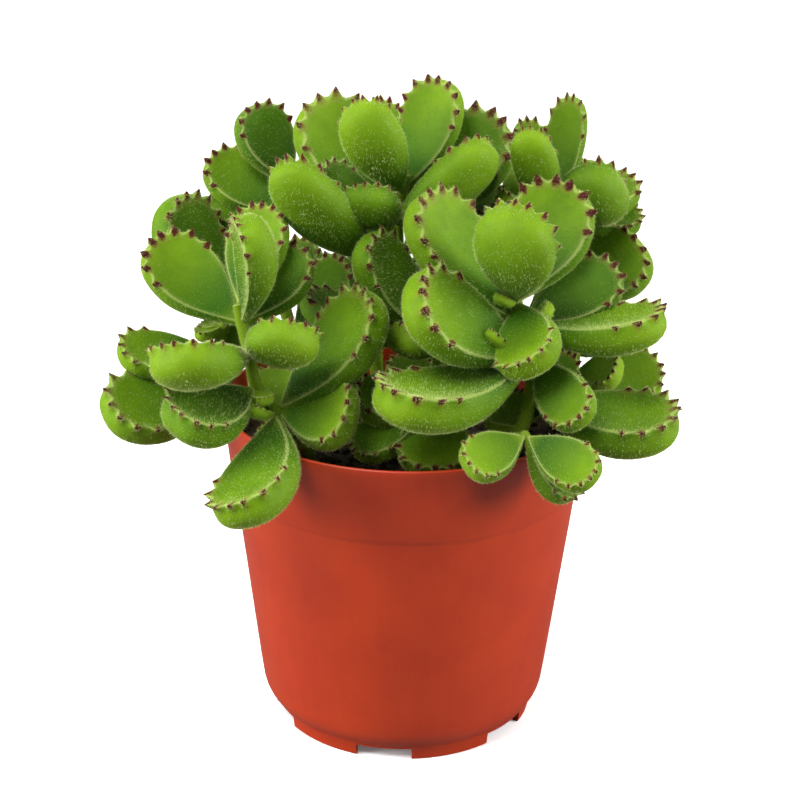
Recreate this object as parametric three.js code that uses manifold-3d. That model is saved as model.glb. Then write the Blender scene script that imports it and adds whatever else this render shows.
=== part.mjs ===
// Bear's paw succulent (Cotyledon tomentosa) in a 10.5 cm terracotta-coloured nursery pot.
// Millimetres, +Z up. The origin is on the surface that the pot stands on, on the pot's axis.
// +X is the plant's right and -Y its front.

import * as THREE from 'three';
import { mergeVertices } from 'three/addons/utils/BufferGeometryUtils.js';
import Module from 'manifold-3d';

const wasm = await Module();
wasm.setup();

// ---------------------------------------------------------------- driving dimensions

const POT_TOP_RADIUS = 52.5;
const POT_HEIGHT = 96;
const POT_SIDES = 40;
const WALL = 1.3;
const COLLAR_HEIGHT = 22;
const COLLAR_BOTTOM_RADIUS = 50;
const COLLAR_STEP = 0.5;
const BODY_BOTTOM_RADIUS = 41.5;
const CORNER_TOP = 9.5;
const FOOT_TOP = 4.6;
const FOOT_TOP_RADIUS = 38.5;
const FOOT_BOTTOM_RADIUS = 38;
const FOOT_COUNT = 6;
const FOOT_WALL = 2;
const NOTCH_HEIGHT = 3.6;
const NOTCH_ANGLE = 24;
const NOTCH_SLOPE = 1.6;
const NOTCH_HEADING = 262;
const NOTCH_DEPTH = 5;
const FLOOR_TOP = 6;
const DRAIN_RADIUS = 4;
const DRAIN_RING = 27;
const DRAIN_SIDES = 12;

const SOIL_TOP = 86;
const SOIL_MOUND = 1.5;
const GAP = 0.3;

const STEM_SIDES = 6;
const STEM_RADIUS = 1.9;
const STEM_TIP_RADIUS = 1.3;
const ROOT_DEPTH = 13;
const STRAIGHT_FOOT = 2;
const HOLE_SIDES = 8;
const PETIOLE = 3.4;
const PETIOLE_FLARE = 8;

// ---------------------------------------------------------------- leafy stems

// Each stem's path starts where it leaves the soil. A leaf's row holds the number of its point
// on that path, then its heading and rise in degrees, its length and width in mm, its roll about
// its own line and its bend along that line in degrees.
const STEMS = {
  stem_front_left: {
    path: [[-27, -24], [-31, -30, 97], [-35, -34, 105], [-40, -34, 112], [-42, -33, 121],
      [-44, -32, 129], [-45, -31, 134]],
    leaves: [
      [2, 256, -18, 40, 21.5, 23, 17],
      [2, 337, 14, 23, 20, 45, 7],
      [3, 228, 2, 30, 20, -16, 10],
      [2, 15, 52, 42, 21, 20, 15],
      [4, 230, 18, 34, 20.5, 22, 5],
      [4, 317, 33, 25, 17.5, -32, -9],
      [5, 272, 76, 33, 18, 105, 10],
      [5, 155, 39, 34, 18.5, -35, 10],
      [5, 52, 38, 29, 17, 20, 10],
      [6, 72, 53, 30, 16, 0, 10],
      [2, 232, 28, 12, 6, 0, 20],
      [3, 295, -6, 7, 6, 0, 20],
      [2, 90, 29, 16, 15, 0, 5],
      [1, 141, -1, 11, 12, -20, 5],
    ],
  },
  stem_left: {
    path: [[-34, -6], [-44, -6, 94], [-51, -7, 100], [-53, -5, 111], [-51, -4, 119],
      [-50, -3, 124]],
    leaves: [
      [2, 216, 7, 38.5, 21, -32, 5],
      [3, 198, 9, 29, 15, -25, 5],
      [4, 157, 71, 39, 21, -15, 10],
      [4, 193, -8, 9, 7, 0, 20],
      [4, 148, -7, 8, 9, 0, 20],
      [2, 64, 68, 21, 9, 25, 5],
    ],
  },
  stem_back_left: {
    path: [[-26, 12], [-33, 13, 110], [-37, 12, 128], [-36, 12, 146], [-33, 14, 154],
      [-32, 15, 158]],
    leaves: [
      [4, 144, 59, 26, 16.5, -20, 10],
      [3, 152, 34, 28, 16, -30, 10],
      [3, 165, 8, 23, 13, -30, 10],
      [1, 8, 56, 28, 14, 50, 5],
    ],
  },
  stem_centre: {
    path: [[-8, 4], [-9, 3, 112], [-9, 2, 136], [-5, 4, 147], [-2, 5, 155], [-1, 5, 160]],
    leaves: [
      [4, 218, 61, 33, 16, 45, 10],
      [4, 42, 67, 34, 17, 20, 10],
      [3, 245, 38, 25, 15, 15, 10],
      [3, 191, 38, 26, 16, -40, 10],
      [3, 144, 50, 42, 23, -25, 10],
      [3, 26, 39, 44, 24, 35, 10],
      [2, 220, 46, 49, 17, 35, 10],
      [3, 352, 43, 37, 17, -40, 10],
      [4, 104, 39, 34, 12, 0, 10],
      [3, 32, 8, 38, 15, 20, 10],
    ],
  },
  stem_front_right: {
    path: [[26, -28], [31, -31, 100], [33, -30, 109], [33, -27, 119], [30, -24, 127],
      [29, -22, 133], [28, -21, 137]],
    leaves: [
      [5, 269, 69, 33, 21, -25, 5],
      [5, 54, 53, 37, 23, 20, 10],
      [4, 161, 52, 45, 22, -25, 10],
      [4, 24, 24, 33, 17, 35, 5],
      [3, 205, 36, 43, 23, -45, 10],
      [4, 351, 10, 40, 19.5, 0, 10],
      [5, 272, -22, 26, 18, 34, 5],
      [3, 212, 0, 48, 23.5, -2, 27],
      [3, 298, -22, 27, 14, 45, 10],
      [2, 352, -3, 41, 22.5, 10, 28],
      [3, 211, 37, 17, 6, 0, 20],
      [5, 228, 26, 9, 5, 0, 20],
      [4, 318, 42, 12, 7, 30, 20],
      [1, 116, 18, 14, 14, -20, 5],
      [1, 48, 35, 28, 10, 40, 5],
    ],
  },
  stem_low_right: {
    path: [[23, -35], [27, -40, 98], [31, -47, 104.5]],
    leaves: [
      [2, 214, -10, 20, 13, -35, 5],
      [2, 318, -11, 24, 13, 40, 5],
      [2, 342, -44, 22, 14, 20, -10],
    ],
  },
  stem_middle: {
    path: [[6, -20], [8, -20, 105], [9, -14, 118], [10, -12, 122]],
    leaves: [
      [2, 189, 58, 38, 18.5, -40, 5],
      [2, 217, 29, 17, 15, 0, 5],
      [1, 266, -41, 24, 20, 0, 5],
      [1, 197, -28, 24, 16, -20, 5],
      [2, 164, 16, 42, 17, 0, 5],
      [1, 185, 1, 23, 16, -25, 5],
      [1, 125, 17, 20, 14, 0, 5],
      [1, 54, 16, 22, 14, 0, 5],
      [1, 203, -26, 29, 14, -20, 5],
    ],
  },
  stem_right: {
    path: [[30, 0], [43, 1, 96], [47, 2, 103], [45, 6, 124], [40, 12, 147], [39, 13, 151]],
    leaves: [
      [2, 4, 2, 27, 18, 30, 5],
      [2, 33, -26, 45, 15, 0, -19],
      [3, 9, 44, 27, 22, 45, 5],
      [5, 346, 24, 23, 22, -45, 8],
      [4, 67, 70, 35, 11, 0, 5],
      [4, 230, 65, 31, 12, 30, 5],
      [4, 111, 52, 31, 11, 0, 5],
      [4, 32, 14, 31, 15, 20, 5],
      [4, 203, 28, 18, 12, 0, 5],
      [2, 327, 24, 16, 12, 35, 5],
      [4, 20, -3, 29, 14, 20, 5],
    ],
  },
};

// The stems at the back carry crossed pairs of leaves, each pair turned a quarter from the pair
// below it, steeper and shorter towards the top.
const BACK_STEMS = {
  stem_back: { foot: [0, 26], top: [-3, 42, 136], pairs: 4, heading: 54 },
  stem_back_right: { foot: [26, 24], top: [44, 38, 131], pairs: 3, heading: 82 },
  stem_far_left: { foot: [-24, 30], top: [-50, 50, 113], pairs: 3, heading: 60 },
};
const LOW_RISE = -3;
const TOP_RISE = 65;
const LOW_LENGTH = 33;
const TOP_LENGTH = 27;
const LEAF_SLIMNESS = 0.59;
const LOWEST_PAIR = 10;
const PAIR_SWAY = 12;
const PAIR_BEND = 12;

function crossedPairs({ foot, top, pairs, heading }) {
  const path = [foot];
  const leaves = [];
  for (let pair = 1; pair <= pairs; pair += 1) {
    const share = pair / pairs;
    const height = THREE.MathUtils.lerp(SOIL_TOP + LOWEST_PAIR, top[2], share);
    const reach = Math.sqrt(share);
    const x = THREE.MathUtils.lerp(foot[0], top[0], reach);
    const y = THREE.MathUtils.lerp(foot[1], top[1], reach);
    path.push([x, y, height]);
    const length = THREE.MathUtils.lerp(LOW_LENGTH, TOP_LENGTH, share);
    const rise = THREE.MathUtils.lerp(LOW_RISE, TOP_RISE, share);
    for (const side of [0, 180]) {
      const sway = PAIR_SWAY * Math.sin(7 * pair + side);
      leaves.push([pair, heading + 90 * pair + side + sway, rise + sway, length,
        length * LEAF_SLIMNESS, 0, PAIR_BEND]);
    }
  }
  return { path, leaves };
}

for (const [name, stem] of Object.entries(BACK_STEMS)) STEMS[name] = crossedPairs(stem);

// ---------------------------------------------------------------- solids

function solid(geometry) {
  const bare = geometry.index ? geometry.clone() : geometry;
  bare.deleteAttribute('normal');
  bare.deleteAttribute('uv');
  const merged = mergeVertices(bare, 1e-5);
  return new wasm.Manifold(new wasm.Mesh({
    numProp: 3,
    vertProperties: new Float32Array(merged.attributes.position.array),
    triVerts: new Uint32Array(merged.index.array),
  }));
}

// Joins solids and keeps the one outer body, so that no pocket stays shut inside it.
function fuse(solids) {
  const whole = solids.reduce((joined, piece) => joined.add(piece));
  return whole.decompose().reduce((largest, body) => (body.volume() > largest.volume() ? body : largest));
}

function meshOf(name, body, material) {
  const { vertProperties, triVerts } = body.getMesh();
  const geometry = new THREE.BufferGeometry();
  geometry.setAttribute('position', new THREE.BufferAttribute(vertProperties, 3));
  geometry.setIndex(new THREE.BufferAttribute(triVerts, 1));
  geometry.computeVertexNormals();
  const mesh = new THREE.Mesh(geometry, material);
  mesh.name = name;
  return mesh;
}

function lathe(profile, sides) {
  const points = profile.map(([radius, height]) => new THREE.Vector2(radius, height));
  return new THREE.LatheGeometry(points, sides).rotateX(Math.PI / 2);
}

// ---------------------------------------------------------------- leaf

// Half outlines of the leaf, from the stem to the tip: how far along the length, how far out as
// a share of half the width, and how far up as a share of the width. Teeth stand out and up.
const TOOTHED_EDGE = [
  [0, 0.12, 0.04], [0.14, 0.33, 0], [0.3, 0.69, 0], [0.46, 0.92, 0.01],
  [0.58, 1.12, 0.05], [0.67, 0.97, 0.02],
  [0.79, 1.07, 0.06], [0.85, 0.82, 0.03],
  [0.93, 0.74, 0.07], [0.95, 0.4, 0.04],
  [1, 0, 0.08],
];
const BULGE = [
  [0, 0.12, -0.1], [0.17, 0.4, -0.16], [0.36, 0.82, -0.19],
  [0.6, 1.03, -0.2], [0.84, 0.86, -0.19], [0.96, 0.4, -0.14],
];
const BACK = [[0.13, 0.14, -0.24], [0.36, 0.46, -0.38], [0.64, 0.64, -0.45], [0.86, 0.34, -0.36]];
const FACE = [[0.14, 0.14, 0.02], [0.34, 0.42, 0], [0.68, 0.62, 0], [0.88, 0.36, 0.01]];

function ring(halfOutline) {
  const right = halfOutline.map(([along, out, up]) => ({ along, out: -out, up, around: along / 2 }));
  const left = halfOutline.filter(([, out]) => out > 0).reverse()
    .map(([along, out, up]) => ({ along, out, up, around: 1 - along / 2 }));
  return [...right, ...left];
}

// Joins two rings with triangles, whatever number of points each has.
function band(lower, upper, faces) {
  let i = 0;
  let j = 0;
  while (i < lower.length || j < upper.length) {
    const nextLower = i < lower.length ? (lower[i + 1]?.around ?? 1) : 2;
    const nextUpper = j < upper.length ? (upper[j + 1]?.around ?? 1) : 2;
    const low = lower[i % lower.length];
    const high = upper[j % upper.length];
    if (nextLower <= nextUpper) {
      i += 1;
      faces.push([low, lower[i % lower.length], high]);
    } else {
      j += 1;
      faces.push([low, upper[j % upper.length], high]);
    }
  }
}

// Closes a ring with triangles that run to and fro between its two sides.
function cap(points, faces, isTop) {
  let first = 0;
  let last = points.length - 1;
  while (last - first > 1) {
    const onFirst = (last - first) % 2 === 1;
    const corner = points[onFirst ? first + 1 : last - 1];
    const face = [points[first], corner, points[last]];
    faces.push(isTop ? face : face.reverse());
    if (onFirst) first += 1;
    else last -= 1;
  }
}

function leaf(base, [, heading, rise, length, width, roll, bend]) {
  const rings = [BACK, BULGE, TOOTHED_EDGE, FACE].map(ring);
  const faces = [];
  for (let level = 1; level < rings.length; level += 1) band(rings[level - 1], rings[level], faces);
  cap(rings[0], faces, false);
  cap(rings.at(-1), faces, true);

  const turn = THREE.MathUtils.degToRad(bend);
  const radius = length / 2 / Math.sin(turn / 2);
  const place = ({ along, out, up }) => {
    const angle = turn * (along - 0.5);
    const reach = radius * (Math.sin(angle) + Math.sin(turn / 2));
    const lift = radius * (Math.cos(turn / 2) - Math.cos(angle));
    const thick = up * width;
    const petiole = Math.min(PETIOLE / 2, Math.abs(out) * PETIOLE_FLARE);
    const side = Math.sign(out) * Math.max(Math.abs(out) * width / 2, petiole);
    return [reach - thick * Math.sin(angle), side, lift + thick * Math.cos(angle)];
  };
  const geometry = new THREE.BufferGeometry();
  const corners = faces.flat().flatMap(place);
  geometry.setAttribute('position', new THREE.Float32BufferAttribute(corners, 3));
  const [rollAngle, riseAngle, headingAngle] = [roll, -rise, heading].map(THREE.MathUtils.degToRad);
  const turned = new THREE.Euler(rollAngle, riseAngle, headingAngle, 'ZYX');
  geometry.applyMatrix4(new THREE.Matrix4().makeRotationFromEuler(turned));
  geometry.translate(base.x, base.y, base.z);
  return solid(geometry);
}

// ---------------------------------------------------------------- stem

function stemPoints(path) {
  const [[x, y], ...above] = path;
  const root = [[x, y, SOIL_TOP - ROOT_DEPTH], [x, y, SOIL_TOP + STRAIGHT_FOOT]];
  return [...root, ...above].map(([px, py, pz]) => new THREE.Vector3(px, py, pz));
}

// A many-sided rod whose rings lie flat, one at each point of the path.
function stem(path) {
  const points = stemPoints(path);
  const levels = points.length - 1;
  const rod = new THREE.CylinderGeometry(STEM_TIP_RADIUS, STEM_RADIUS, levels, STEM_SIDES, levels);
  rod.rotateX(Math.PI / 2);
  const corners = rod.attributes.position;
  for (let corner = 0; corner < corners.count; corner += 1) {
    const point = points[Math.round(corners.getZ(corner) + levels / 2)];
    corners.setXYZ(corner, corners.getX(corner) + point.x, corners.getY(corner) + point.y, point.z);
  }
  return solid(rod);
}

function leafyStem({ path, leaves }) {
  const points = stemPoints(path).slice(1);
  return fuse([stem(path), ...leaves.map((row) => leaf(points[row[0]], row))]);
}

// ---------------------------------------------------------------- pot and soil

const bodyTop = POT_HEIGHT - COLLAR_HEIGHT;
const bodyTopRadius = COLLAR_BOTTOM_RADIUS - COLLAR_STEP;
const wallRadius = (height) => THREE.MathUtils.mapLinear(
  height, CORNER_TOP, bodyTop, BODY_BOTTOM_RADIUS, bodyTopRadius);

function potShell() {
  return lathe([
    [0, FLOOR_TOP - WALL],
    [FOOT_TOP_RADIUS - FOOT_WALL, FLOOR_TOP - WALL],
    [FOOT_BOTTOM_RADIUS - FOOT_WALL, 0],
    [FOOT_BOTTOM_RADIUS, 0],
    [FOOT_TOP_RADIUS, FOOT_TOP],
    [BODY_BOTTOM_RADIUS - 1, CORNER_TOP - 3],
    [BODY_BOTTOM_RADIUS, CORNER_TOP],
    [bodyTopRadius, bodyTop],
    [COLLAR_BOTTOM_RADIUS, bodyTop],
    [POT_TOP_RADIUS - 0.2, POT_HEIGHT - 1],
    [POT_TOP_RADIUS, POT_HEIGHT],
    [POT_TOP_RADIUS - WALL, POT_HEIGHT],
    [COLLAR_BOTTOM_RADIUS - WALL, bodyTop + 1],
    [bodyTopRadius - WALL, bodyTop - 1],
    [BODY_BOTTOM_RADIUS - WALL, CORNER_TOP],
    [BODY_BOTTOM_RADIUS - WALL - 3, FLOOR_TOP],
    [0, FLOOR_TOP],
  ], POT_SIDES);
}

// The outline of the notch between two feet, wider at the bottom, pushed through the foot wall.
function footNotch() {
  const half = FOOT_BOTTOM_RADIUS * Math.sin(THREE.MathUtils.degToRad(NOTCH_ANGLE / 2));
  const outline = new THREE.Shape([
    new THREE.Vector2(-half - NOTCH_SLOPE, -NOTCH_HEIGHT),
    new THREE.Vector2(half + NOTCH_SLOPE, -NOTCH_HEIGHT),
    new THREE.Vector2(half - NOTCH_SLOPE, NOTCH_HEIGHT),
    new THREE.Vector2(NOTCH_SLOPE - half, NOTCH_HEIGHT),
  ]);
  const notch = new THREE.ExtrudeGeometry(outline, { depth: 2 * NOTCH_DEPTH, bevelEnabled: false });
  notch.rotateX(Math.PI / 2).rotateZ(Math.PI / 2);
  return notch.translate(FOOT_BOTTOM_RADIUS - NOTCH_DEPTH, 0, 0);
}

function pot() {
  let body = solid(potShell());
  for (let foot = 0; foot < FOOT_COUNT; foot += 1) {
    const heading = THREE.MathUtils.degToRad(NOTCH_HEADING + foot * 360 / FOOT_COUNT);
    body = body.subtract(solid(footNotch().rotateZ(heading)));
    const drain = new THREE.CylinderGeometry(DRAIN_RADIUS, DRAIN_RADIUS, 4 * FLOOR_TOP, DRAIN_SIDES);
    drain.rotateX(Math.PI / 2).translate(DRAIN_RING, 0, 0).rotateZ(heading);
    body = body.subtract(solid(drain));
  }
  return body;
}

function soil() {
  const inside = (height) => wallRadius(height) - WALL - GAP;
  let body = solid(lathe([
    [0, FLOOR_TOP + GAP],
    [inside(CORNER_TOP) - 4, FLOOR_TOP + GAP],
    [inside(CORNER_TOP) - 0.6, CORNER_TOP + 0.6],
    [inside(bodyTop) - 0.2, bodyTop - 1],
    [inside(bodyTop) + 0.5, bodyTop + 2],
    [inside(bodyTop) + 1.4, SOIL_TOP - SOIL_MOUND],
    [inside(bodyTop) / 2, SOIL_TOP],
    [0, SOIL_TOP],
  ], POT_SIDES));
  for (const { path } of Object.values(STEMS)) {
    const radius = STEM_RADIUS + 2 * GAP;
    const hole = new THREE.CylinderGeometry(radius, radius, 2 * ROOT_DEPTH + GAP, HOLE_SIDES);
    hole.rotateX(Math.PI / 2).translate(path[0][0], path[0][1], SOIL_TOP);
    body = body.subtract(solid(hole));
  }
  return body;
}

// ---------------------------------------------------------------- assembly

const potPlastic = new THREE.MeshStandardMaterial({ color: 0xb5502f, roughness: 0.45, metalness: 0 });
const pottingMix = new THREE.MeshStandardMaterial({ color: 0x2e2019, roughness: 1, metalness: 0 });
const foliage = () => new THREE.MeshStandardMaterial({ color: 0x7c9b3a, roughness: 0.75, metalness: 0 });

const plant = new THREE.Group();
plant.name = 'bears_paw_succulent';
plant.add(meshOf('pot', pot(), potPlastic));
plant.add(meshOf('soil', soil(), pottingMix));
for (const [name, shape] of Object.entries(STEMS)) {
  plant.add(meshOf(name, leafyStem(shape), foliage()));
}

export default plant;
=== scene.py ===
# Bear's paw succulent, plump and furry with claw-toothed leaves, in a nursery pot.
# Metres, +Z up. The pot stands at the origin, its front is -Y, and +X is on the right from there.

import math
import random

import bmesh
import bpy
import numpy as np
from mathutils import Euler, Matrix, Vector, noise


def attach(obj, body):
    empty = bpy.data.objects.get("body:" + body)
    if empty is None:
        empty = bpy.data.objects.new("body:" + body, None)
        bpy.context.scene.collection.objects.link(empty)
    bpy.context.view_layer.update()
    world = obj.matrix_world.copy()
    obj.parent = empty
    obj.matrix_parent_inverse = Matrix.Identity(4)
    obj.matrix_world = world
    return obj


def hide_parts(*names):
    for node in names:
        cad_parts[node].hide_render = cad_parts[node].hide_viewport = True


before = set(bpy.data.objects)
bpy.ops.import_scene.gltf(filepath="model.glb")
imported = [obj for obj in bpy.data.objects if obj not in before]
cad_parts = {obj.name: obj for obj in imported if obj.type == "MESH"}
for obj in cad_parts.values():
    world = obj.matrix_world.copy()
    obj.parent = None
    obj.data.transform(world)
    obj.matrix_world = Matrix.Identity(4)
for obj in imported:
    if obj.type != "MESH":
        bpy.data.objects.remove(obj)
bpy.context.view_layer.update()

MM = 0.001
FULL_TURN = 2 * math.pi
SEED = 11

# ---------------------------------------------------------------- driving dimensions, in mm

POT_TOP_RADIUS = 52.5
POT_HEIGHT = 96
WALL = 1.3
COLLAR_HEIGHT = 22
COLLAR_BOTTOM_RADIUS = 50
COLLAR_STEP = 0.5
BODY_BOTTOM_RADIUS = 41.5
CORNER_TOP = 9.5
FOOT_TOP = 4.6
FOOT_TOP_RADIUS = 38.5
FOOT_BOTTOM_RADIUS = 38
FOOT_COUNT = 6
FOOT_WALL = 2
NOTCH_HEIGHT = 3.6
NOTCH_ANGLE = 24
NOTCH_SLOPE = 1.6
NOTCH_HEADING = 262
NOTCH_DEPTH = 5
FLOOR_TOP = 6
DRAIN_RADIUS = 4
DRAIN_RING = 27
POT_STEPS = 144

SOIL_TOP = 86
SOIL_MOUND = 1.5
SOIL_STEPS = 96
ROOT_DEPTH = 13
STRAIGHT_FOOT = 2

STEM_RADIUS = 1.9
STEM_TIP_RADIUS = 1.3

# ---------------------------------------------------------------- leafy stems

# Each stem's path starts where it leaves the soil. A leaf's row holds the number of its point
# on that path, then its heading and rise in degrees, its length and width in mm, its roll about
# its own line and its bend along that line in degrees.
#
# Most of these numbers were not chosen by hand. Separate programs worked out the headings, rises
# and lengths, and in front_left 0, 1, 2, 4 and 5 and front_right 6 and 7, counted from 0, also
# the widths, rolls and bends. The paths started from such a program too. Some values were then
# changed one by one.
STEMS = {
    "front_left": {
        "path": [(-27, -24), (-31, -30, 97), (-35, -34, 105), (-40, -34, 112), (-42, -33, 121),
                 (-44, -32, 129), (-45, -31, 134)],
        "leaves": [
            (2, 256, -18, 40, 21.5, 23, 17),
            (2, 337, 14, 23, 20, 45, 7),
            (3, 228, 2, 30, 20, -16, 10),
            (2, 15, 52, 42, 21, 20, 15),
            (4, 230, 18, 34, 20.5, 22, 5),
            (4, 317, 33, 25, 17.5, -32, -9),
            (5, 272, 76, 33, 18, 105, 10),
            (5, 155, 39, 34, 18.5, -35, 10),
            (5, 52, 38, 29, 17, 20, 10),
            (6, 72, 53, 30, 16, 0, 10),
            (2, 232, 28, 12, 6, 0, 20),
            (3, 295, -6, 7, 6, 0, 20),
            (2, 90, 29, 16, 15, 0, 5),
            (1, 141, -1, 11, 12, -20, 5),
        ],
    },
    "left": {
        "path": [(-34, -6), (-44, -6, 94), (-51, -7, 100), (-53, -5, 111), (-51, -4, 119),
                 (-50, -3, 124)],
        "leaves": [
            (2, 216, 7, 38.5, 21, -32, 5),
            (3, 198, 9, 29, 15, -25, 5),
            (4, 157, 71, 39, 21, -15, 10),
            (4, 193, -8, 9, 7, 0, 20),
            (4, 148, -7, 8, 9, 0, 20),
            (2, 64, 68, 21, 9, 25, 5),
        ],
    },
    "back_left": {
        "path": [(-26, 12), (-33, 13, 110), (-37, 12, 128), (-36, 12, 146), (-33, 14, 154),
                 (-32, 15, 158)],
        "leaves": [
            (4, 144, 59, 26, 16.5, -20, 10),
            (3, 152, 34, 28, 16, -30, 10),
            (3, 165, 8, 23, 13, -30, 10),
            (1, 8, 56, 28, 14, 50, 5),
        ],
    },
    "centre": {
        "path": [(-8, 4), (-9, 3, 112), (-9, 2, 136), (-5, 4, 147), (-2, 5, 155), (-1, 5, 160)],
        "leaves": [
            (4, 218, 61, 33, 16, 45, 10),
            (4, 42, 67, 34, 17, 20, 10),
            (3, 245, 38, 25, 15, 15, 10),
            (3, 191, 38, 26, 16, -40, 10),
            (3, 144, 50, 42, 23, -25, 10),
            (3, 26, 39, 44, 24, 35, 10),
            (2, 220, 46, 49, 17, 35, 10),
            (3, 352, 43, 37, 17, -40, 10),
            (4, 104, 39, 34, 12, 0, 10),
            (3, 32, 8, 38, 15, 20, 10),
        ],
    },
    "front_right": {
        "path": [(26, -28), (31, -31, 100), (33, -30, 109), (33, -27, 119), (30, -24, 127),
                 (29, -22, 133), (28, -21, 137)],
        "leaves": [
            (5, 269, 69, 33, 21, -25, 5),
            (5, 54, 53, 37, 23, 20, 10),
            (4, 161, 52, 45, 22, -25, 10),
            (4, 24, 24, 33, 17, 35, 5),
            (3, 205, 36, 43, 23, -45, 10),
            (4, 351, 10, 40, 19.5, 0, 10),
            (5, 272, -22, 26, 18, 34, 5),
            (3, 212, 0, 48, 23.5, -2, 27),
            (3, 298, -22, 27, 14, 45, 10),
            (2, 352, -3, 41, 22.5, 10, 28),
            (3, 211, 37, 17, 6, 0, 20),
            (5, 228, 26, 9, 5, 0, 20),
            (4, 318, 42, 12, 7, 30, 20),
            (1, 116, 18, 14, 14, -20, 5),
            (1, 48, 35, 28, 10, 40, 5),
        ],
    },
    "low_right": {
        "path": [(23, -35), (27, -40, 98), (31, -47, 104.5)],
        "leaves": [
            (2, 214, -10, 20, 13, -35, 5),
            (2, 318, -11, 24, 13, 40, 5),
            (2, 342, -44, 22, 14, 20, -10),
        ],
    },
    "middle": {
        "path": [(6, -20), (8, -20, 105), (9, -14, 118), (10, -12, 122)],
        "leaves": [
            (2, 189, 58, 38, 18.5, -40, 5),
            (2, 217, 29, 17, 15, 0, 5),
            (1, 266, -41, 24, 20, 0, 5),
            (1, 197, -28, 24, 16, -20, 5),
            (2, 164, 16, 42, 17, 0, 5),
            (1, 185, 1, 23, 16, -25, 5),
            (1, 125, 17, 20, 14, 0, 5),
            (1, 54, 16, 22, 14, 0, 5),
            (1, 203, -26, 29, 14, -20, 5),
        ],
    },
    "right": {
        "path": [(30, 0), (43, 1, 96), (47, 2, 103), (45, 6, 124), (40, 12, 147), (39, 13, 151)],
        "leaves": [
            (2, 4, 2, 27, 18, 30, 5),
            (2, 33, -26, 45, 15, 0, -19),
            (3, 9, 44, 27, 22, 45, 5),
            (5, 346, 24, 23, 22, -45, 8),
            (4, 67, 70, 35, 11, 0, 5),
            (4, 230, 65, 31, 12, 30, 5),
            (4, 111, 52, 31, 11, 0, 5),
            (4, 32, 14, 31, 15, 20, 5),
            (4, 203, 28, 18, 12, 0, 5),
            (2, 327, 24, 16, 12, 35, 5),
            (4, 20, -3, 29, 14, 20, 5),
        ],
    },
}

# The stems at the back carry crossed pairs of leaves, each pair turned a quarter from the pair
# below it, steeper and shorter towards the top. The values here and under the table started
# from a random search by a separate program, and were then changed one by one and by grids of
# trials.
BACK_STEMS = {
    "back": {"foot": (0, 26), "top": (-3, 42, 136), "pairs": 4, "heading": 54},
    "back_right": {"foot": (26, 24), "top": (44, 38, 131), "pairs": 3, "heading": 82},
    "far_left": {"foot": (-24, 30), "top": (-50, 50, 113), "pairs": 3, "heading": 60},
}
LOW_RISE = -3
TOP_RISE = 65
LOW_LENGTH = 33
TOP_LENGTH = 27
LEAF_SLIMNESS = 0.59
LOWEST_PAIR = 10
PAIR_SWAY = 12
PAIR_BEND = 12


def between(low, high, share):
    return low + (high - low) * share


def crossed_pairs(foot, top, pairs, heading):
    path = [foot]
    leaves = []
    for pair in range(1, pairs + 1):
        share = pair / pairs
        reach = math.sqrt(share)
        x = between(foot[0], top[0], reach)
        y = between(foot[1], top[1], reach)
        path.append((x, y, between(SOIL_TOP + LOWEST_PAIR, top[2], share)))
        length = between(LOW_LENGTH, TOP_LENGTH, share)
        rise = between(LOW_RISE, TOP_RISE, share)
        for side in (0, 180):
            sway = PAIR_SWAY * math.sin(7 * pair + side)
            leaves.append((pair, heading + 90 * pair + side + sway, rise + sway, length,
                           length * LEAF_SLIMNESS, 0, PAIR_BEND))
    return {"path": path, "leaves": leaves}


for stem_name, stem_rule in BACK_STEMS.items():
    STEMS[stem_name] = crossed_pairs(**stem_rule)


def stem_points(path):
    x, y = path[0]
    root = [(x, y, SOIL_TOP - ROOT_DEPTH), (x, y, SOIL_TOP + STRAIGHT_FOOT)]
    return [Vector(point) * MM for point in root + list(path[1:])]


# ---------------------------------------------------------------- modelling helpers

def deselect_all():
    if bpy.context.mode != "OBJECT":
        bpy.ops.object.mode_set(mode="OBJECT")
    bpy.ops.object.select_all(action="DESELECT")


def take_up(*pieces):
    deselect_all()
    for piece in pieces:
        piece.select_set(True)
    bpy.context.view_layer.objects.active = pieces[0]


def new_piece(name, vertices, edges=(), faces=()):
    mesh = bpy.data.meshes.new(name)
    mesh.from_pydata(vertices, edges, faces)
    piece = bpy.data.objects.new(name, mesh)
    bpy.context.collection.objects.link(piece)
    take_up(piece)
    return piece


def apply_modifier(piece, kind, **settings):
    take_up(piece)
    modifier = piece.modifiers.new(kind.title(), kind)
    for setting, value in settings.items():
        setattr(modifier, setting, value)
    bpy.ops.object.modifier_apply(modifier=modifier.name)


def join(name, pieces):
    take_up(*pieces)
    bpy.ops.object.join()
    whole = bpy.context.object
    whole.name = name
    whole.data.name = name
    return whole


def remove(piece):
    mesh = piece.data
    bpy.data.objects.remove(piece)
    bpy.data.meshes.remove(mesh)


def spun(name, profile, steps):
    """A closed round piece: a profile of (radius, height) in mm, spun about the Z axis."""
    vertices = [(radius * MM, 0, height * MM) for radius, height in profile]
    piece = new_piece(name, vertices, [(i, i + 1) for i in range(len(vertices) - 1)])
    bpy.ops.object.mode_set(mode="EDIT")
    bpy.ops.mesh.select_all(action="SELECT")
    bpy.ops.mesh.spin(steps=steps, angle=FULL_TURN, center=(0, 0, 0), axis=(0, 0, 1))
    bpy.ops.mesh.select_all(action="SELECT")
    bpy.ops.mesh.remove_doubles(threshold=0.01 * MM)
    bpy.ops.mesh.normals_make_consistent(inside=False)
    bpy.ops.object.mode_set(mode="OBJECT")
    return piece


def places(mesh):
    """The mesh's vertices as an array with a row for each."""
    flat = np.empty(3 * len(mesh.vertices))
    mesh.vertices.foreach_get("co", flat)
    return flat.reshape(-1, 3)


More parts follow.
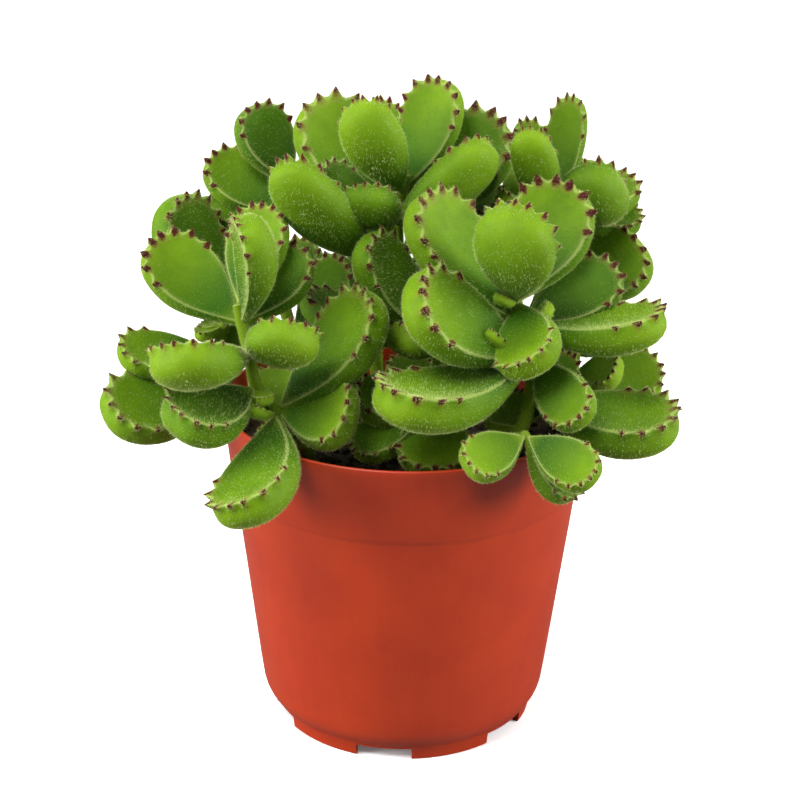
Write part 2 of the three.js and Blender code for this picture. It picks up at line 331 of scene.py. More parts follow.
def move_to(mesh, rows):
    mesh.vertices.foreach_set("co", rows.astype(np.float32).ravel())
    mesh.update()


def paint(mesh, name, values):
    """Writes a number on each vertex, which the materials read by its name."""
    layer = mesh.attributes.get(name) or mesh.attributes.new(name, "FLOAT", "POINT")
    layer.data.foreach_set("value", np.broadcast_to(values, len(mesh.vertices)).astype(np.float32))


def numbers(mesh, name):
    """Reads painted numbers back as an array."""
    values = np.empty(len(mesh.vertices))
    mesh.attributes[name].data.foreach_get("value", values)
    return values


# ---------------------------------------------------------------- leaf masters

LEAF_LENGTH = 34
LEAF_WIDTH = 18
LEAF_RAYS = 112
WIDEST = 0.6
CROWN = 0.345
CROWN_SQUARENESS = 2.4
STALK_PINCH = 0.83
STALK_THINNING = 0.77
TOOTH_SPREAD = 1.75
CLAW_DEPTH = 2.7
CLAW_TIP = 0.55
CLAW_FLARE = 0.4
CLAW_WRAP = 0.45
RIM_GLOW = 0.55
CLAW_RIPENESS = (0.6, 1.2)

# Half section across the widest place, from the middle of the upper face over the toothed rim
# to the middle of the back: out as a share of half the width, up as a share of the width.
SECTION = [
    (0, -0.03), (0.2, -0.026), (0.42, -0.014), (0.62, 0.004), (0.78, 0.02), (0.88, 0.03),
    (0.93, 0.034), (0.975, 0.006), (1.01, -0.04), (1.035, -0.1), (1.045, -0.17),
    (1.03, -0.24), (0.97, -0.31), (0.85, -0.38), (0.67, -0.435), (0.45, -0.47),
    (0.22, -0.485), (0, -0.49),
]
RIM_ROW = 6

# Headings of the teeth about the leaf's middle, in degrees from its tip, and their heights in mm.
TOOTH_SETS = {
    "nine_teeth": [(0, 2.4), (20, 2.3), (-21, 2.4), (41, 2.4), (-43, 2.2), (63, 2.0), (-64, 2.1),
                   (85, 1.4), (-88, 1.3)],
    "eight_teeth": [(9, 2.5), (-11, 2.4), (31, 2.5), (-33, 2.3), (53, 2.2), (-56, 2.2), (77, 1.6),
                    (-80, 1.5)],
    "seven_teeth": [(2, 2.3), (25, 2.6), (-23, 2.5), (49, 2.4), (-48, 2.4), (73, 1.8), (-75, 1.6)],
}


def pull_tooth(piece, tip, height):
    """Draws one rim vertex out and up to a claw, its neighbours following to a sharp cusp."""
    mesh = bmesh.from_edit_mesh(piece.data)
    mesh.verts.ensure_lookup_table()
    corner = mesh.verts[tip]
    rim_edges = [edge for edge in corner.link_edges
                 if abs(edge.other_vert(corner).co.z - corner.co.z) < 0.05 * MM]
    along = rim_edges[0].other_vert(corner).co - rim_edges[-1].other_vert(corner).co
    outward = along.cross(Vector((0, 0, 1))).normalized()
    if outward.dot(corner.co - Vector((WIDEST * LEAF_LENGTH * MM, 0, 0))) < 0:
        outward.negate()
    bpy.ops.mesh.select_all(action="DESELECT")
    corner.select_set(True)
    mesh.select_flush(True)
    reach = (outward + Vector((0, 0, 0.3))) * height * MM
    bpy.ops.transform.translate(
        value=reach, use_proportional_edit=True, proportional_edit_falloff="LINEAR",
        proportional_size=TOOTH_SPREAD * MM)


def claw_mask(rows, tips):
    """How deep each point lies in a claw's dark triangle: 1 at a claw's tip, 0 outside."""
    deepest = np.zeros(len(rows))
    for tip in tips:
        outward = rows[tip] - (WIDEST * LEAF_LENGTH * MM, 0, rows[tip][2])
        outward /= np.linalg.norm(outward)
        away = rows - rows[tip]
        inward = -away @ outward
        across = away + inward[:, None] * outward
        aside = np.hypot(np.linalg.norm(across[:, :2], axis=1), CLAW_WRAP * across[:, 2])
        inward = np.abs(inward)
        room = CLAW_TIP * MM + CLAW_FLARE * inward
        deepest = np.maximum(deepest, 1 - np.maximum(inward / (CLAW_DEPTH * MM), aside / room))
    return deepest


def leaf_master(name, teeth):
    """A flat-faced, round-backed pad drawn out to a leaf that lies along +X from its stalk."""
    half_width = LEAF_WIDTH / 2
    profile = [(out * half_width, up * LEAF_WIDTH) for out, up in SECTION]
    leaf = spun(name, profile, LEAF_RAYS)
    mesh = leaf.data

    rows = places(mesh)
    radius = np.hypot(rows[:, 0], rows[:, 1])
    rim_radius, rim_height = (value * MM for value in profile[RIM_ROW])
    off_rim = np.hypot(radius - rim_radius, rows[:, 2] - rim_height)
    # The rim number is 1 on the toothed rim and fades within RIM_GLOW of it. The hairs grow thickest
    # there, and the skin is painted paler there: the pale hairs' own colour and a painted highlight
    # where they catch the light.
    paint(mesh, "rim", np.clip(1 - off_rim / (RIM_GLOW * MM), 0, 1))
    paint(mesh, "under", np.clip((rim_height - rows[:, 2]) / (0.2 * LEAF_WIDTH * MM), 0, 1))
    ray = np.degrees(np.arctan2(rows[:, 1], rows[:, 0]))
    on_rim = off_rim < 0.01 * MM
    tips = [int(np.argmin(np.where(on_rim, np.abs(ray - heading), np.inf))) for heading, _ in teeth]

    squared = (np.abs(rows[:, 0]) ** CROWN_SQUARENESS + np.abs(rows[:, 1]) ** CROWN_SQUARENESS)
    squared **= 1 / CROWN_SQUARENESS
    front = rows[:, 0] > 0
    rows[front, :2] *= (radius / squared)[front, None]
    rows[front, 0] *= CROWN * LEAF_LENGTH / half_width
    rows[~front, 0] *= WIDEST * LEAF_LENGTH / half_width
    behind = np.clip(-rows[:, 0] / (WIDEST * LEAF_LENGTH * MM), 0, 1)
    rows[:, 1] *= 1 - STALK_PINCH * behind ** 2
    rows[:, 2] *= 1 - STALK_THINNING * behind ** 1.5
    rows[:, 0] += WIDEST * LEAF_LENGTH * MM
    move_to(mesh, rows)
    paint(mesh, "along", np.clip(rows[:, 0] / (LEAF_LENGTH * MM), 0, 1))

    take_up(leaf)
    bpy.ops.object.mode_set(mode="EDIT")
    for tip, (_, height) in zip(tips, teeth):
        pull_tooth(leaf, tip, height)
    bpy.ops.object.mode_set(mode="OBJECT")

    paint(mesh, "claw", claw_mask(places(mesh), tips))
    return leaf


# ---------------------------------------------------------------- leafy stems, piece by piece

YOUNG_LENGTH = 12
STEM_BEVEL = 5
SWAY = 0.8


def bent(rows, length, bend):
    """Curls points that lie along +X about an arc whose chord stays on X."""
    turn = math.radians(bend)
    radius = length / 2 / math.sin(turn / 2)
    angle = turn * (rows[:, 0] / length - 0.5)
    reach = radius * (np.sin(angle) + math.sin(turn / 2))
    lift = radius * (math.cos(turn / 2) - np.cos(angle))
    thick = rows[:, 2]
    return np.column_stack((reach - thick * np.sin(angle), rows[:, 1], lift + thick * np.cos(angle)))


# The dark tone is painted shade on leaves deep inside the plant, and the darker green of old ones.
DARK_TONE = (0, 0.2)
BRIGHT_TONE = (0.55, 1)

# The dark green leaves of each stem, by their place in its list: painted shade on the leaves deep
# between and behind the stems, and the darker green of old leaves.
OLD_AND_SHADED_LEAVES = {
    "front_left": (2, 8, 12, 13), "left": (2, 5), "back_left": (0, 2, 3), "centre": (2, 3, 5, 9),
    "front_right": (3, 13, 14), "low_right": (2,), "middle": (0, 1, 3, 4, 5, 6, 7, 8),
    "right": (3, 8, 10), "back": (0, 1, 2, 3), "back_right": (0, 1), "far_left": (0, 1, 2, 3),
}


def grown_leaf(master, base, row, tones, draw):
    """A copy of a master, stretched, curled and turned as its row says, at the stem's point."""
    _, heading, rise, length, width, roll, bend = row
    leaf = bpy.data.objects.new(master.name, master.data.copy())
    bpy.context.collection.objects.link(leaf)
    rows = places(leaf.data) * (length / LEAF_LENGTH, width / LEAF_WIDTH, width / LEAF_WIDTH)
    share = rows[:, 0] / (length * MM)
    rows[:, 1] += draw.uniform(-SWAY, SWAY) * MM * share ** 2
    rows = bent(rows, length * MM, bend)
    turned = Euler((math.radians(roll), math.radians(-rise), math.radians(heading)), "XYZ")
    rows = rows @ np.array(turned.to_matrix()).T + np.array(base)
    move_to(leaf.data, rows)
    paint(leaf.data, "tone", draw.uniform(*tones))
    paint(leaf.data, "young", max(0, 1 - length / YOUNG_LENGTH / 2))
    paint(leaf.data, "claw", numbers(leaf.data, "claw") * draw.uniform(*CLAW_RIPENESS))
    return leaf


def stem_rod(name, points, draw):
    """A round stem through the points, thinner to its tip, swollen a little at each node."""
    bpy.ops.curve.primitive_bezier_curve_add()
    rod = bpy.context.object
    line = rod.data.splines[0]
    line.bezier_points.add(len(points) - 2)
    for number, (knot, point) in enumerate(zip(line.bezier_points, points)):
        share = number / (len(points) - 1)
        knot.co = point
        knot.handle_left_type = knot.handle_right_type = "AUTO"
        knot.radius = between(STEM_RADIUS, STEM_TIP_RADIUS, share) * draw.uniform(1.0, 1.15)
    rod.data.dimensions = "3D"
    rod.data.bevel_depth = MM
    rod.data.bevel_resolution = STEM_BEVEL
    rod.data.use_fill_caps = True
    take_up(rod)
    bpy.ops.object.convert(target="MESH")
    rod = bpy.context.object
    rod.name = name
    for attribute in ("rim", "claw", "young", "along"):
        paint(rod.data, attribute, 0)
    paint(rod.data, "under", 0.5)
    paint(rod.data, "tone", draw.random())
    return rod


def leafy_stem(name, shape, masters, draw):
    points = stem_points(shape["path"])
    parts = [stem_rod(name, points, draw)]
    for number, row in enumerate(shape["leaves"]):
        # Old and shaded leaves take the dark tone: painted shade, and old leaves' darker green.
        tones = DARK_TONE if number in OLD_AND_SHADED_LEAVES[name] else BRIGHT_TONE
        parts.append(grown_leaf(draw.choice(masters), points[row[0] + 1], row, tones, draw))
    foliage = join(f"leafy_stem_{name}", parts)
    bpy.ops.object.shade_smooth()
    return foliage


# ---------------------------------------------------------------- hairs

HAIR_RADIUS = 0.042
HAIR_LENGTH = (0.35, 0.75)
HAIRS_PER_MM2 = 1.5
RIM_HAIRS = 5
HAIR_LEAN = 0.16


def hair_master():
    """One hair of unit length and width: a needle with three sides."""
    deselect_all()
    bpy.ops.mesh.primitive_cone_add(
        vertices=3, radius1=1, radius2=0, depth=1, end_fill_type="NOTHING", location=(0, 0, 0.5))
    bpy.ops.object.transform_apply()
    return bpy.context.object


def coat_of_hair(name, foliage, needle, seed):
    """Copies of the needle all over a leafy stem, denser along the rims of its leaves."""
    draw = np.random.default_rng(seed)
    mesh = foliage.data
    count = len(mesh.polygons)
    area = np.empty(count)
    normal = np.empty(3 * count)
    mesh.polygons.foreach_get("area", area)
    mesh.polygons.foreach_get("normal", normal)
    normal = normal.reshape(-1, 3)
    rows = places(mesh)
    rim = numbers(mesh, "rim")
    corners = np.array([(list(face.vertices) * 2)[:4] for face in mesh.polygons])
    weight = area * (1 + RIM_HAIRS * rim[corners].mean(axis=1))
    hairs = int(weight.sum() / MM ** 2 * HAIRS_PER_MM2)
    faces = draw.choice(count, hairs, p=weight / weight.sum())

    blend = draw.dirichlet((1, 1, 1, 1), hairs)
    roots = np.einsum("hc,hcx->hx", blend, rows[corners[faces]])
    line = normal[faces] + draw.normal(0, HAIR_LEAN, (hairs, 3))
    line /= np.linalg.norm(line, axis=1)[:, None]
    side = np.cross(line, draw.normal(0, 1, (hairs, 3)))
    side /= np.linalg.norm(side, axis=1)[:, None]
    other = np.cross(line, side)
    length = draw.uniform(*HAIR_LENGTH, hairs)[:, None, None] * MM
    shape = places(needle.data)
    vertices = (roots[:, None] + shape[None, :, :1] * side[:, None] * HAIR_RADIUS * MM
                + shape[None, :, 1:2] * other[:, None] * HAIR_RADIUS * MM
                + shape[None, :, 2:] * line[:, None] * length)
    loops = [list(face.vertices) for face in needle.data.polygons]
    faces = [[corner + first for corner in face]
             for first in range(0, hairs * len(shape), len(shape)) for face in loops]
    return new_piece(name, vertices.reshape(-1, 3), faces=faces)


# ---------------------------------------------------------------- pot

LIP_RADIUS = 0.55
LIP_STEPS = 8
DRAIN_STEPS = 32
EDGE_BEVEL = 0.18
EDGE_ANGLE = 50
POT_SMOOTH_ANGLE = 35

body_top = POT_HEIGHT - COLLAR_HEIGHT
body_top_radius = COLLAR_BOTTOM_RADIUS - COLLAR_STEP


def arc(centre, radius, start, end, steps):
    """Points of a round corner in a profile, with its angles in degrees."""
    angles = [math.radians(between(start, end, step / steps)) for step in range(steps + 1)]
    return [(centre[0] + radius * math.cos(a), centre[1] + radius * math.sin(a)) for a in angles]


def pot_profile():
    """Half section of the pot in mm. The small offsets round off the corners of the moulding."""
    outside = [
        (0, FLOOR_TOP - WALL),
        (FOOT_TOP_RADIUS - FOOT_WALL, FLOOR_TOP - WALL),
        (FOOT_BOTTOM_RADIUS - FOOT_WALL, 0),
        (FOOT_BOTTOM_RADIUS - 0.4, 0),
        (FOOT_BOTTOM_RADIUS, 0.4),
        (FOOT_TOP_RADIUS - 0.1, FOOT_TOP - 0.6),
        (FOOT_TOP_RADIUS + 0.2, FOOT_TOP),
        (FOOT_TOP_RADIUS + 1.2, FOOT_TOP + 1.1),
        (BODY_BOTTOM_RADIUS - 0.9, CORNER_TOP - 2.4),
        (BODY_BOTTOM_RADIUS - 0.3, CORNER_TOP - 1.0),
        (BODY_BOTTOM_RADIUS + 0.1, CORNER_TOP + 0.6),
    ]
    body = [(between(BODY_BOTTOM_RADIUS, body_top_radius, share) + 0.1,
             between(CORNER_TOP, body_top, share)) for share in (0.1, 0.3, 0.5, 0.7, 0.9)]
    collar = [
        (body_top_radius, body_top - 1.2),
        (body_top_radius + 0.1, body_top - 0.6),
        (COLLAR_BOTTOM_RADIUS - 0.1, body_top + 0.1),
        (COLLAR_BOTTOM_RADIUS + 0.05, body_top + 0.6),
        (between(COLLAR_BOTTOM_RADIUS, POT_TOP_RADIUS, 0.5), body_top + COLLAR_HEIGHT / 2),
        (POT_TOP_RADIUS - 0.25, POT_HEIGHT - 2.2),
    ]
    lip_centre = (POT_TOP_RADIUS - LIP_RADIUS, POT_HEIGHT - LIP_RADIUS)
    rim = arc(lip_centre, LIP_RADIUS, 0, 180, LIP_STEPS)
    inside = [
        (POT_TOP_RADIUS - WALL - 0.2, POT_HEIGHT - 2),
        (COLLAR_BOTTOM_RADIUS - WALL, body_top + 1),
        (body_top_radius - WALL, body_top - 1),
        (between(BODY_BOTTOM_RADIUS, body_top_radius, 0.5) - WALL,
         between(CORNER_TOP, body_top, 0.5)),
        (BODY_BOTTOM_RADIUS - WALL, CORNER_TOP),
        (BODY_BOTTOM_RADIUS - WALL - 3, FLOOR_TOP),
        (0, FLOOR_TOP),
    ]
    return outside + body + collar + rim + inside


def cut(piece, cutter):
    apply_modifier(piece, "BOOLEAN", object=cutter, operation="DIFFERENCE", solver="EXACT")
    remove(cutter)


def foot_notch(heading, place):
    """The cutter for the gap between two feet, wider at its bottom."""
    half = FOOT_BOTTOM_RADIUS * math.sin(math.radians(NOTCH_ANGLE / 2))
    deselect_all()
    bpy.ops.mesh.primitive_cube_add(
        size=2, scale=(NOTCH_DEPTH * MM, half * MM, NOTCH_HEIGHT * MM),
        location=place, rotation=(0, 0, heading))
    cutter = bpy.context.object
    for vertex in cutter.data.vertices:
        vertex.co.y *= 1 - vertex.co.z * NOTCH_SLOPE / half
    return cutter


def nursery_pot():
    pot = spun("nursery_pot", pot_profile(), POT_STEPS)
    for foot in range(FOOT_COUNT):
        heading = math.radians(NOTCH_HEADING + foot * 360 / FOOT_COUNT)
        towards = Vector((math.cos(heading), math.sin(heading), 0))
        cut(pot, foot_notch(heading, towards * FOOT_BOTTOM_RADIUS * MM))
        deselect_all()
        bpy.ops.mesh.primitive_cylinder_add(
            vertices=DRAIN_STEPS, radius=DRAIN_RADIUS * MM, depth=4 * FLOOR_TOP * MM,
            location=towards * DRAIN_RING * MM)
        cut(pot, bpy.context.object)
    apply_modifier(pot, "BEVEL", width=EDGE_BEVEL * MM, segments=2, limit_method="ANGLE",
                   angle_limit=math.radians(EDGE_ANGLE))
    take_up(pot)
    bpy.ops.object.shade_smooth_by_angle(angle=math.radians(POT_SMOOTH_ANGLE))
    return pot


# ---------------------------------------------------------------- potting mix

SOIL_GAP = 0.3
SOIL_RINGS = 40
SOIL_SMOOTH_ANGLE = 50
COARSE_LUMP_HEIGHT = 1.1
COARSE_LUMP_SIZE = 6
FINE_LUMP_HEIGHT = 0.5
FINE_LUMP_SIZE = 2
CRUMB_COUNT = 1500
CRUMB_SIZE = (0.5, 2.1)
CRUMB_LEAST = 0.3
CRUMB_DENTS = 0.35
CRUMB_DENT_SCALE = 1.7
CRUMB_WIDTH = (0.5, 0.9)
CRUMB_FLATNESS = 0.6
CRUMB_LIFT = 0.2


def mound_height(x, y):
    """How high the potting mix lies at a place; all three are in metres."""
    slope = SOIL_MOUND * math.hypot(x, y) / (body_top_radius * MM)
    coarse = COARSE_LUMP_HEIGHT * noise.noise(Vector((x, y, 0)) / (COARSE_LUMP_SIZE * MM))
    fine = FINE_LUMP_HEIGHT * noise.noise(Vector((x, y, 1)) / (FINE_LUMP_SIZE * MM))
    lumps = coarse + fine
    return (SOIL_TOP - slope + lumps) * MM


def potting_mix():
    """A bed that fills the pot to its mound, with loose crumbs on it, as one piece."""
    side = body_top_radius - WALL - SOIL_GAP
    top = [(between(side + 1.3, 0, ring / SOIL_RINGS), SOIL_TOP) for ring in range(SOIL_RINGS)]
    bed = spun("potting_mix", [
        (0, FLOOR_TOP + SOIL_GAP),
        (BODY_BOTTOM_RADIUS - WALL - SOIL_GAP - 4, FLOOR_TOP + SOIL_GAP),
        (BODY_BOTTOM_RADIUS - WALL - SOIL_GAP - 0.6, CORNER_TOP + 0.6),
        (side - 0.2, body_top - 1),
        (side + 0.5, body_top + 2),
        (side + 1.2, SOIL_TOP - SOIL_MOUND - 1.5),
        *top,
        (0, SOIL_TOP),
    ], SOIL_STEPS)
    for vertex in bed.data.vertices:
        if vertex.co.z > (SOIL_TOP - 1) * MM:
            vertex.co.z = mound_height(vertex.co.x, vertex.co.y)

    draw = random.Random(SEED)
    deselect_all()
    bpy.ops.mesh.primitive_ico_sphere_add(subdivisions=1, radius=1)
    crumb = bpy.context.object
    for vertex in crumb.data.vertices:
        vertex.co *= 1 + CRUMB_DENTS * noise.noise(vertex.co * CRUMB_DENT_SCALE)
    crumbs = []
    for _ in range(CRUMB_COUNT):
        radius = (side - 1) * math.sqrt(draw.random()) * MM
        heading = draw.uniform(0, FULL_TURN)
        x, y = radius * math.cos(heading), radius * math.sin(heading)
        size = draw.uniform(*CRUMB_SIZE) * draw.random() + CRUMB_LEAST
        piece = bpy.data.objects.new("crumb", crumb.data.copy())
        turn = Euler([draw.uniform(0, FULL_TURN) for _ in range(3)]).to_matrix().to_4x4()
        grow = Matrix.Diagonal((size * MM, size * MM * draw.uniform(*CRUMB_WIDTH),
                                size * MM * CRUMB_FLATNESS, 1))
        lift = Matrix.Translation((x, y, mound_height(x, y) + CRUMB_LIFT * size * MM))
        piece.data.transform(lift @ turn @ grow)
        bpy.context.collection.objects.link(piece)
        crumbs.append(piece)
    remove(crumb)
    mix = join("potting_mix", [bed] + crumbs)
    bpy.ops.object.shade_smooth_by_angle(angle=math.radians(SOIL_SMOOTH_ANGLE))
    return mix


# ---------------------------------------------------------------- material helpers

def linear(red, green, blue):
    """A colour given in screen values of 0 to 255, as the linear light that shaders use."""
    def one(value):
        share = value / 255
        return share / 12.92 if share <= 0.04045 else ((share + 0.055) / 1.055) ** 2.4
    return (one(red), one(green), one(blue), 1)


class Nodes:
    """Adds nodes to a tree and links them, in the order in which they are named."""

    def __init__(self, tree):
        self.tree = tree

    def fill(self, node, values):
        """Gives inputs of a node their values, or links them where a value is an output."""
        for socket, value in values.items():
            if isinstance(value, bpy.types.NodeSocket):
                self.tree.links.new(value, node.inputs[socket])
            else:
                node.inputs[socket].default_value = value

    def add(self, kind, values=None, **settings):
        node = self.tree.nodes.new(kind)
        for setting, value in settings.items():
            setattr(node, setting, value)
        self.fill(node, values or {})
        return node

    def attribute(self, name):
        return self.add("ShaderNodeAttribute", attribute_name=name).outputs["Fac"]

    def ramp(self, value, low, high, low_out=0, high_out=1):
        node = self.add("ShaderNodeMapRange", {
            "Value": value, "From Min": low, "From Max": high, "To Min": low_out, "To Max": high_out})
        return node.outputs["Result"]

    def math(self, operation, a, b):
        return self.add("ShaderNodeMath", {0: a, 1: b}, operation=operation, use_clamp=True).outputs[0]

    def mix(self, share, a, b):
        node = self.add("ShaderNodeMix", {"Factor": share, 6: a, 7: b}, data_type="RGBA")
        return node.outputs[2]

    def noise(self, where, scale, detail=3, roughness=0.55):
        node = self.add("ShaderNodeTexNoise", {
            "Vector": where, "Scale": scale, "Detail": detail, "Roughness": roughness})
        return node.outputs["Fac"]

    def roughen(self, shader, patches, strength, depth):
        """Bumps a surface by the grain of its mottle; the depth is in mm."""
        bump = self.add("ShaderNodeBump", {
            "Height": patches.outputs["Height"], "Strength": strength, "Distance": depth * MM})
        self.fill(shader, {"Normal": bump.outputs["Normal"]})


def effect_group(name, inputs, outputs):
    tree = bpy.data.node_groups.new(name, "ShaderNodeTree")
    for label, kind, value in inputs:
        socket = tree.interface.new_socket(label, in_out="INPUT", socket_type=kind)
        socket.default_value = value
    for label, kind in outputs:
        tree.interface.new_socket(label, in_out="OUTPUT", socket_type=kind)
    return tree


def new_material(name):
    material = bpy.data.materials.new(name)
    material.use_nodes = True
    tree = material.node_tree
    return material, Nodes(tree), tree.nodes["Principled BSDF"]


def mottle_group():
    """Soft patches of a second colour with a fine grain over them, and the grain's height."""
    tree = effect_group(
        "mottle",
        [("Base", "NodeSocketColor", (0.5, 0.5, 0.5, 1)),
         ("Patch", "NodeSocketColor", (0.4, 0.4, 0.4, 1)),
         ("Patch Scale", "NodeSocketFloat", 100.0), ("Grain Scale", "NodeSocketFloat", 1500.0),
         ("Grain", "NodeSocketFloat", 0.2)],
        [("Color", "NodeSocketColor"), ("Height", "NodeSocketFloat")])
    nodes = Nodes(tree)
    given = tree.nodes.new("NodeGroupInput").outputs
    where = nodes.add("ShaderNodeTexCoord").outputs["Object"]
    patch = nodes.ramp(nodes.noise(where, given["Patch Scale"]), 0.35, 0.68)
    grain = nodes.noise(where, given["Grain Scale"], detail=2)
    light = nodes.math("MULTIPLY", nodes.ramp(grain, 0.4, 0.75), given["Grain"])
    patched = nodes.mix(patch, given["Base"], given["Patch"])
    grained = nodes.mix(light, patched, linear(225, 235, 190))
    result = tree.nodes.new("NodeGroupOutput")
    tree.links.new(grained, result.inputs["Color"])
    tree.links.new(grain, result.inputs["Height"])
    return tree


def mottle(nodes, tree, base, patch, patch_size, grain_size, grain):
    """Places the mottle group; sizes are in mm."""
    return nodes.add("ShaderNodeGroup", {
        "Base": base, "Patch": patch, "Patch Scale": 1 / (patch_size * MM),
        "Grain Scale": 1 / (grain_size * MM), "Grain": grain}, node_tree=tree)


# ---------------------------------------------------------------- materials

def foliage_material(mottle_tree):
    material, nodes, skin = new_material("foliage_skin")
    tone = nodes.attribute("tone")
    under = nodes.attribute("under")
    along = nodes.attribute("along")
    # Light green towards the tip, deep green towards the stalk: painted shade where the leaves crowd
    # at the stem. The deep green also colours the mottle's patches.
    light = nodes.mix(tone, linear(82, 130, 0), linear(134, 172, 8))
    deep = nodes.mix(tone, linear(28, 66, 0), linear(54, 104, 0))
    green = nodes.mix(nodes.ramp(along, 0.25, 0.95), deep, light)
    patches = mottle(nodes, mottle_tree, green, nodes.mix(0.4, green, deep), 7, 0.35, 0.02)
    back = nodes.mix(nodes.math("MULTIPLY", under, 0.35), patches.outputs["Color"],
                     linear(126, 162, 22))
    stalk = nodes.mix(nodes.ramp(along, 0.0, 0.2, 0.75, 0), back, linear(124, 152, 22))
    young = nodes.mix(nodes.attribute("young"), stalk, linear(150, 184, 40))
    # Paler along the toothed rim: the pale hairs' own colour, and a painted highlight where they catch
    # the light.
    pale_hairs_and_rim_highlight = nodes.mix(nodes.math("MULTIPLY", nodes.attribute("rim"), 0.5), young,
                         linear(206, 214, 128))
    where = nodes.add("ShaderNodeTexCoord").outputs["Object"]
    ragged = nodes.ramp(nodes.noise(where, 1 / (0.8 * MM)), 0.3, 0.7, 0.7, 1.3)
    depth = nodes.math("MULTIPLY", nodes.attribute("claw"), ragged)
    flush = nodes.mix(nodes.ramp(depth, 0.02, 0.16, 0, 0.4), pale_hairs_and_rim_highlight, linear(160, 132, 66))
    claw = nodes.mix(nodes.ramp(depth, 0.12, 0.3), flush, linear(78, 22, 18))
    nodes.fill(skin, {
        "Base Color": claw, "Roughness": 0.6, "Specular IOR Level": 0.15,
        "Sheen Weight": 1, "Sheen Roughness": 0.24, "Sheen Tint": linear(232, 240, 150),
        "Subsurface Weight": 0.12, "Subsurface Radius": (0.5, 1.0, 0.1),
        "Subsurface Scale": 1.5 * MM})
    nodes.roughen(skin, patches, 0.25, 0.15)
    return material


def hair_material():
    material, nodes, hair = new_material("leaf_hair")
    where = nodes.add("ShaderNodeTexCoord").outputs["Object"]
    share = nodes.noise(where, 1 / (3 * MM))
    shade = nodes.mix(share, linear(220, 232, 168), linear(196, 214, 126))
    nodes.fill(hair, {"Base Color": shade, "Roughness": 0.5})
    return material


def pot_material(mottle_tree):
    material, nodes, plastic = new_material("pot_plastic")
    where = nodes.add("ShaderNodeTexCoord").outputs["Object"]
    patches = mottle(nodes, mottle_tree, linear(200, 57, 4), linear(188, 49, 3), 22, 0.5, 0.01)
    streaks = nodes.add("ShaderNodeMapping", {"Vector": where, "Scale": (1, 1, 0.06)})
    streaked = nodes.mix(
        nodes.ramp(nodes.noise(streaks.outputs[0], 1 / (2.2 * MM)), 0.45, 0.8, 0, 0.12),
        patches.outputs["Color"], linear(212, 84, 40))
    nodes.fill(plastic, {
        "Base Color": streaked, "Roughness": 0.42, "Specular IOR Level": 0.55})
    nodes.roughen(plastic, patches, 0.08, 0.1)
    return material


def soil_material(mottle_tree):
    material, nodes, soil = new_material("potting_mix")
    patches = mottle(nodes, mottle_tree, linear(44, 30, 22), linear(74, 52, 36), 2.5, 0.4, 0.08)
    nodes.fill(soil, {"Base Color": patches.outputs["Color"], "Roughness": 0.95})
    nodes.roughen(soil, patches, 0.6, 0.3)
    return material


# ---------------------------------------------------------------- stage

TARGET = Vector((-3.3, 0, 96.7)) * MM
CAMERA_DISTANCE = 560 * MM
CAMERA_RISE = 21.7
CAMERA_ROLL = 0.72
LENS = 89.6
DIM_FRONT = 0.06
BRIGHT_BACK = 0.5
BRIGHT_TOP = 0.7
FLOOR_RADIUS = 3
FLOOR_STEPS = 96
FLOOR_GLOW = 0.1
DULL_FLOOR = (0.2, 0.2, 0.2, 1)
BRIGHT_FLOOR = (1.6, 1.6, 1.6, 1)
WHITE = (1, 1, 1, 1)


def set_camera():
    deselect_all()
    bpy.ops.object.camera_add()
    camera = bpy.context.object
    rise = math.radians(CAMERA_RISE)
    camera.location = TARGET + CAMERA_DISTANCE * Vector((0, -math.cos(rise), math.sin(rise)))
    tilt = Matrix.Rotation(math.radians(90 - CAMERA_RISE), 3, "X")
    roll = Matrix.Rotation(math.radians(CAMERA_ROLL), 3, "Z")
    camera.rotation_euler = (tilt @ roll).to_euler()
    camera.data.lens = LENS
    camera.data.clip_start = 0.01
    bpy.context.scene.camera = camera


def soft_light(name, place, size, power):
    deselect_all()
    bpy.ops.object.light_add(type="AREA", location=place)
    light = bpy.context.object
    light.name = name
    light.data.shape = "DISK"
    light.data.size = size
    light.data.energy = power
    light.rotation_euler = (TARGET - Vector(place)).to_track_quat("-Z", "Y").to_euler()


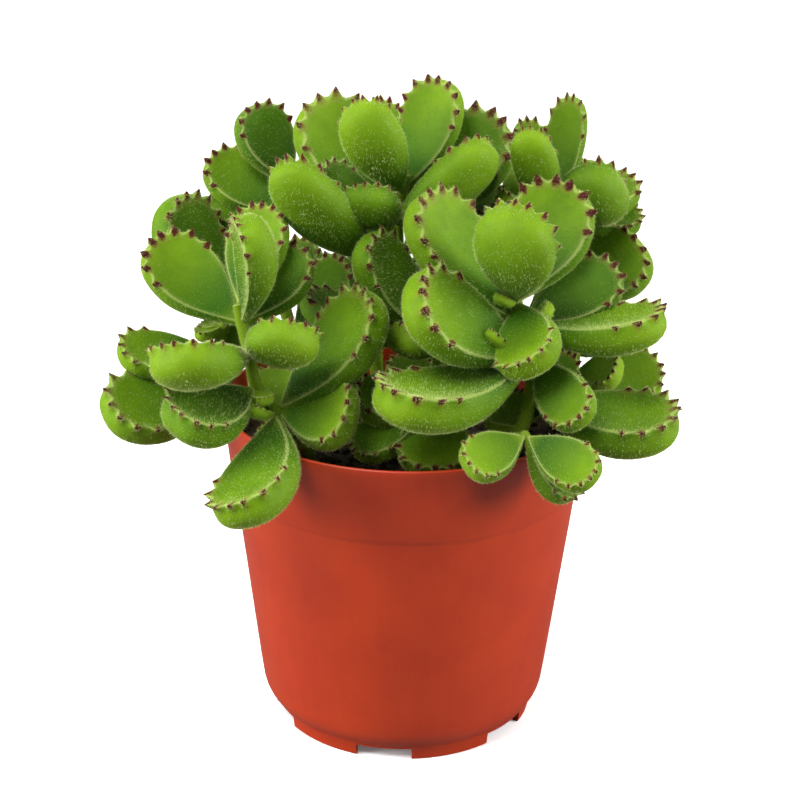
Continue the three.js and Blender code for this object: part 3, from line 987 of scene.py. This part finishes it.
def set_stage():
    """A studio whose backdrop and floor look whiter to the camera than to the light in it."""
    scene = bpy.context.scene
    world = bpy.data.worlds.new("studio")
    world.use_nodes = True
    nodes = Nodes(world.node_tree)
    heading = nodes.add("ShaderNodeSeparateXYZ", {
        "Vector": nodes.add("ShaderNodeTexCoord").outputs["Generated"]})
    glow = nodes.math("MAXIMUM", nodes.ramp(heading.outputs["Y"], -0.5, 0.5, DIM_FRONT, BRIGHT_BACK),
                      nodes.ramp(heading.outputs["Z"], 0.3, 1, 0, BRIGHT_TOP))
    seen = nodes.add("ShaderNodeLightPath").outputs["Is Camera Ray"]
    backdrop = world.node_tree.nodes["Background"]
    nodes.fill(backdrop, {"Color": WHITE, "Strength": nodes.ramp(seen, 0, 1, glow, 1)})
    scene.world = world
    scene.view_settings.view_transform = "Standard"
    soft_light("key", (-0.35, -0.5, 1.0), 0.5, 7.2)
    soft_light("left_side", (-0.9, -0.25, 0.35), 0.6, 9)
    soft_light("right_side", (0.9, -0.2, 0.4), 0.6, 9)

    deselect_all()
    bpy.ops.mesh.primitive_circle_add(
        vertices=FLOOR_STEPS, radius=FLOOR_RADIUS, fill_type="NGON")
    floor = bpy.context.object
    floor.name = "floor"
    material, nodes, paper = new_material("floor_paper")
    seen = nodes.add("ShaderNodeLightPath").outputs["Is Camera Ray"]
    nodes.fill(paper, {
        "Base Color": nodes.mix(seen, DULL_FLOOR, BRIGHT_FLOOR), "Roughness": 0.9,
        "Emission Color": WHITE, "Emission Strength": nodes.ramp(seen, 0, 1, 0, FLOOR_GLOW)})
    floor.data.materials.append(material)


# ---------------------------------------------------------------- the whole plant

def dress(piece, material, slot, *nodes):
    piece.data.materials.clear()
    piece.data.materials.append(material)
    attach(piece, "root")
    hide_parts(*nodes)


def build():
    mottle_tree = mottle_group()
    dress(nursery_pot(), pot_material(mottle_tree), "pot_plastic", "pot")
    dress(potting_mix(), soil_material(mottle_tree), "potting_mix", "soil")

    skin = foliage_material(mottle_tree)
    fur = hair_material()
    masters = [leaf_master(name, teeth) for name, teeth in TOOTH_SETS.items()]
    needle = hair_master()
    for number, (name, shape) in enumerate(STEMS.items()):
        foliage = leafy_stem(name, shape, masters, random.Random(SEED + number))
        hairs = coat_of_hair(f"hairs_{name}", foliage, needle, SEED + number)
        dress(foliage, skin, "foliage", f"stem_{name}")
        dress(hairs, fur, "foliage", f"stem_{name}")
    for master in masters + [needle]:
        remove(master)


build()
set_camera()
set_stage()
deselect_all()
